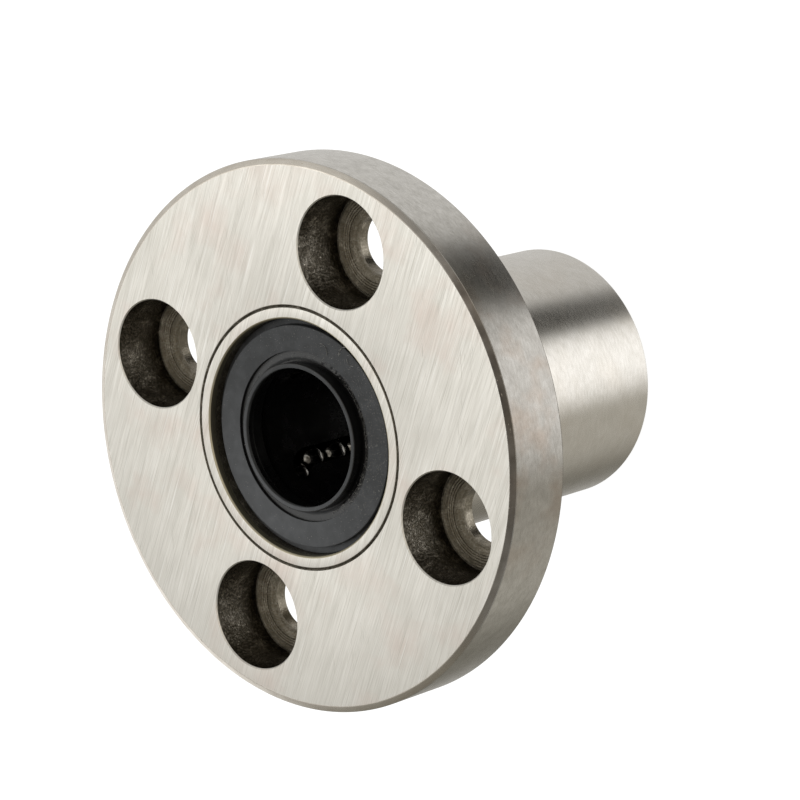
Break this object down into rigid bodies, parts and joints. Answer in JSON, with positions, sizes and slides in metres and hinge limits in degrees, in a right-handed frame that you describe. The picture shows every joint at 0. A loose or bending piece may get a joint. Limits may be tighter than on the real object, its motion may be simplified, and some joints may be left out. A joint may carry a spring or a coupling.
{
  "type": "round flange linear ball bearing",
  "caption": "Linear ball bearing: a steel sleeve pressed flush into a round, counterbored flange, with a rubber seal at each end and recirculating balls in a retainer.",
  "frame": {"origin": "on the shaft axis, in the plane of the flange's rear face, which seats on the machine", "axes": "+Z along the shaft axis, out of the flange's front (counterbored) face; the screw holes stand at 45 degrees to +X and +Y"},
  "size_m": [0.04, 0.04, 0.029],
  "materials": {
    "flange_steel": "ground steel, with fine slanting grinding lines",
    "sleeve_steel": "hardened bearing steel, ground round",
    "retainer_plastic": "black moulded resin",
    "ring_steel": "spring steel, plain",
    "seal_rubber": "matt black nitrile rubber",
    "ball_steel": "polished bearing steel"
  },
  "bodies": {
    "bearing": {"flange": "flange_steel", "outer_sleeve": "sleeve_steel", "ball_retainer": "retainer_plastic", "front_stop_ring": "ring_steel", "rear_stop_ring": "ring_steel", "front_seal": "seal_rubber", "rear_seal": "seal_rubber"},
    "loaded_row_1": {"loaded_balls_1": "ball_steel"},
    "return_row_1": {"return_balls_1": "ball_steel"},
    "front_turn_1": {"front_turn_balls_1": "ball_steel"},
    "rear_turn_1": {"rear_turn_balls_1": "ball_steel"},
    "loaded_row_2": {"loaded_balls_2": "ball_steel"},
    "return_row_2": {"return_balls_2": "ball_steel"},
    "front_turn_2": {"front_turn_balls_2": "ball_steel"},
    "rear_turn_2": {"rear_turn_balls_2": "ball_steel"},
    "loaded_row_3": {"loaded_balls_3": "ball_steel"},
    "return_row_3": {"return_balls_3": "ball_steel"},
    "front_turn_3": {"front_turn_balls_3": "ball_steel"},
    "rear_turn_3": {"rear_turn_balls_3": "ball_steel"},
    "loaded_row_4": {"loaded_balls_4": "ball_steel"},
    "return_row_4": {"return_balls_4": "ball_steel"},
    "front_turn_4": {"front_turn_balls_4": "ball_steel"},
    "rear_turn_4": {"rear_turn_balls_4": "ball_steel"}
  },
  "joints": [
    {"name": "loaded_row_1_travel", "type": "slide", "parent": "bearing", "child": "loaded_row_1", "axis": [0, 0, 1], "range_m": [-0.00181, 0.00061]},
    {"name": "return_row_1_travel", "type": "slide", "parent": "bearing", "child": "return_row_1", "axis": [0, 0, -1], "range_m": [-0.00181, 0.00061]},
    {"name": "front_turn_1_travel", "type": "hinge", "parent": "bearing", "child": "front_turn_1", "pos_m": [0.00591, 0.00257, -0.00053], "axis": [-0.9903, -0.1392, 0], "range_deg": [-67.3, 22.7]},
    {"name": "rear_turn_1_travel", "type": "hinge", "parent": "bearing", "child": "rear_turn_1", "pos_m": [0.00591, 0.00257, -0.01747], "axis": [-0.9903, -0.1392, 0], "range_deg": [-67.3, 22.7]},
    {"name": "loaded_row_2_travel", "type": "slide", "parent": "bearing", "child": "loaded_row_2", "axis": [0, 0, 1], "range_m": [-0.00181, 0.00061]},
    {"name": "return_row_2_travel", "type": "slide", "parent": "bearing", "child": "return_row_2", "axis": [0, 0, -1], "range_m": [-0.00181, 0.00061]},
    {"name": "front_turn_2_travel", "type": "hinge", "parent": "bearing", "child": "front_turn_2", "pos_m": [-0.00257, 0.00591, -0.00053], "axis": [0.1392, -0.9903, 0], "range_deg": [-67.3, 22.7]},
    {"name": "rear_turn_2_travel", "type": "hinge", "parent": "bearing", "child": "rear_turn_2", "pos_m": [-0.00257, 0.00591, -0.01747], "axis": [0.1392, -0.9903, 0], "range_deg": [-67.3, 22.7]},
    {"name": "loaded_row_3_travel", "type": "slide", "parent": "bearing", "child": "loaded_row_3", "axis": [0, 0, 1], "range_m": [-0.00181, 0.00061]},
    {"name": "return_row_3_travel", "type": "slide", "parent": "bearing", "child": "return_row_3", "axis": [0, 0, -1], "range_m": [-0.00181, 0.00061]},
    {"name": "front_turn_3_travel", "type": "hinge", "parent": "bearing", "child": "front_turn_3", "pos_m": [-0.00591, -0.00257, -0.00053], "axis": [0.9903, 0.1392, 0], "range_deg": [-67.3, 22.7]},
    {"name": "rear_turn_3_travel", "type": "hinge", "parent": "bearing", "child": "rear_turn_3", "pos_m": [-0.00591, -0.00257, -0.01747], "axis": [0.9903, 0.1392, 0], "range_deg": [-67.3, 22.7]},
    {"name": "loaded_row_4_travel", "type": "slide", "parent": "bearing", "child": "loaded_row_4", "axis": [0, 0, 1], "range_m": [-0.00181, 0.00061]},
    {"name": "return_row_4_travel", "type": "slide", "parent": "bearing", "child": "return_row_4", "axis": [0, 0, -1], "range_m": [-0.00181, 0.00061]},
    {"name": "front_turn_4_travel", "type": "hinge", "parent": "bearing", "child": "front_turn_4", "pos_m": [0.00257, -0.00591, -0.00053], "axis": [-0.1392, 0.9903, 0], "range_deg": [-67.3, 22.7]},
    {"name": "rear_turn_4_travel", "type": "hinge", "parent": "bearing", "child": "rear_turn_4", "pos_m": [0.00257, -0.00591, -0.01747], "axis": [-0.1392, 0.9903, 0], "range_deg": [-67.3, 22.7]}
  ],
  "couplings": [
    {"joint": "return_row_1_travel", "follows": "loaded_row_1_travel", "ratio": 1},
    {"joint": "front_turn_1_travel", "follows": "loaded_row_1_travel", "rad_per_m": 648.75},
    {"joint": "rear_turn_1_travel", "follows": "loaded_row_1_travel", "rad_per_m": 648.75},
    {"joint": "return_row_2_travel", "follows": "loaded_row_2_travel", "ratio": 1},
    {"joint": "front_turn_2_travel", "follows": "loaded_row_2_travel", "rad_per_m": 648.75},
    {"joint": "rear_turn_2_travel", "follows": "loaded_row_2_travel", "rad_per_m": 648.75},
    {"joint": "return_row_3_travel", "follows": "loaded_row_3_travel", "ratio": 1},
    {"joint": "front_turn_3_travel", "follows": "loaded_row_3_travel", "rad_per_m": 648.75},
    {"joint": "rear_turn_3_travel", "follows": "loaded_row_3_travel", "rad_per_m": 648.75},
    {"joint": "return_row_4_travel", "follows": "loaded_row_4_travel", "ratio": 1},
    {"joint": "front_turn_4_travel", "follows": "loaded_row_4_travel", "rad_per_m": 648.75},
    {"joint": "rear_turn_4_travel", "follows": "loaded_row_4_travel", "rad_per_m": 648.75}
  ]
}
